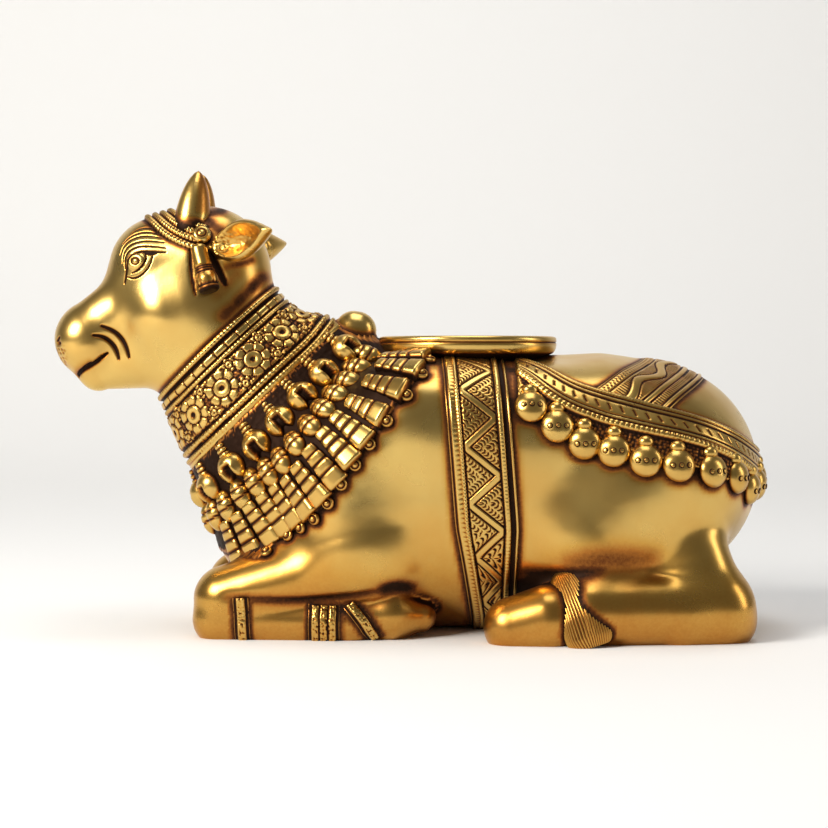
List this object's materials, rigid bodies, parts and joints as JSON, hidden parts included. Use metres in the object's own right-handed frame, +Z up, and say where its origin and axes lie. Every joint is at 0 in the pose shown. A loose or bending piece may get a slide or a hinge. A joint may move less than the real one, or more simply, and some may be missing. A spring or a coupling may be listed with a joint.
{
  "type": "nandi bull figure",
  "caption": "Seated bull figure cast in brass, kneeling with folded legs, with collar, pendant necklace, patterned girth, belled breeching and a saddle in relief.",
  "frame": {"origin": "on the ground under the middle of the figure", "axes": "+Z up; the muzzle points to -X; the bull's left side, over which the tail tuft falls, is at -Y"},
  "size_m": [0.2591, 0.1155, 0.1663],
  "materials": {
    "brass": "polished cast brass, with dark red-brown antique colour left in the engraving and deep recesses"
  },
  "bodies": {
    "root": {"nandi_bull": "brass"}
  },
  "joints": []
}
